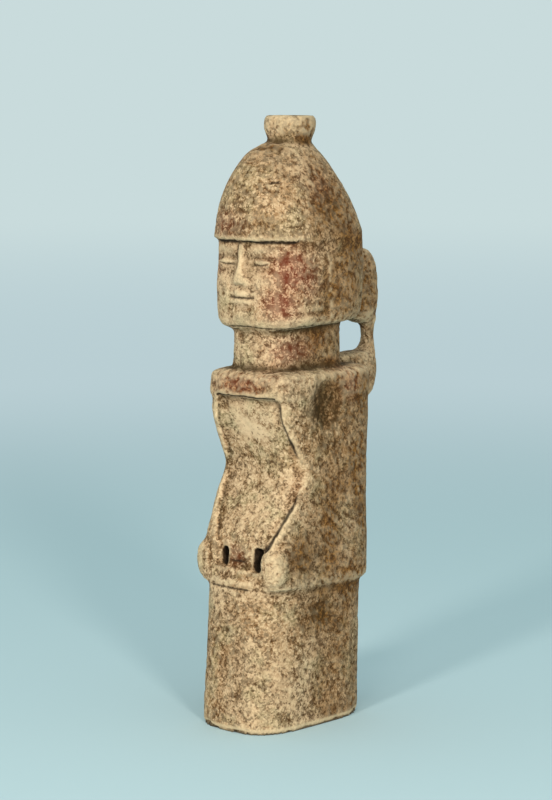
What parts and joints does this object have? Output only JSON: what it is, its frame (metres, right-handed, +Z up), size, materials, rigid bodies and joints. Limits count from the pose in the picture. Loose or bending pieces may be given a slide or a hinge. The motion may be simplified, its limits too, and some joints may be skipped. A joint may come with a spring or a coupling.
{
  "type": "ancestor figure",
  "caption": "Small carved stone figure with a tall knobbed cap, a pierced plait behind the neck and both fists held on the belly, standing on a plain column.",
  "frame": {"origin": "Middle of the flat underside of the column, which is the face the figure stands on.", "axes": "+Z up along the figure's height, -Y the way the figure faces, +X to the figure's left."},
  "size_m": [0.039, 0.0726, 0.2],
  "materials": {
    "stone": "weathered, pitted, matt, with brown speckle and traces of red"
  },
  "bodies": {
    "root": {"ancestor_figure": "stone"}
  },
  "joints": []
}
